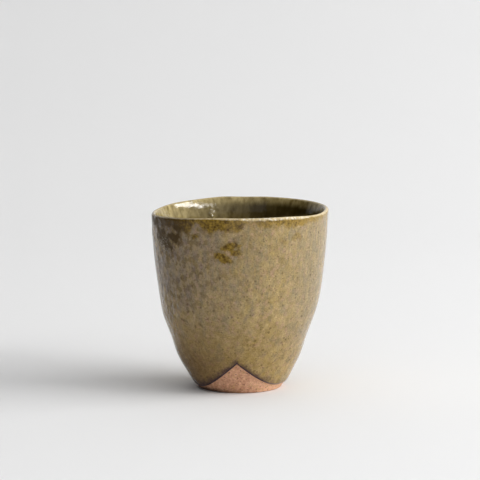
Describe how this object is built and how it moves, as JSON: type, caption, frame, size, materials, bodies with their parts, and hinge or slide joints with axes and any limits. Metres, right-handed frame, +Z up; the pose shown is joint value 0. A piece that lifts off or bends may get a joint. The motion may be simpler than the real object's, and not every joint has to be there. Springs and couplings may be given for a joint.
{
  "type": "yunomi tea cup",
  "caption": "Hand-thrown yunomi tea cup: bare clay body with a dipped outer glaze that ends in a peak above the foot, and a glazed inside.",
  "frame": {"origin": "on the table, under the middle of the foot", "axes": "+Z up along the cup's axis; the front, with the peak of bare clay, faces -Y; +X is to the right seen from the front"},
  "size_m": [0.0792, 0.0802, 0.081],
  "materials": {
    "bare_clay": "matt, fine sandy grain",
    "dark_glaze_edge": "satin",
    "outer_glaze": "semi-gloss, mottled",
    "inner_glaze": "gloss"
  },
  "bodies": {
    "root": {"clay_body": "bare_clay", "glaze_edge": "dark_glaze_edge", "outer_glaze": "outer_glaze", "inner_glaze": "inner_glaze"}
  },
  "joints": []
}
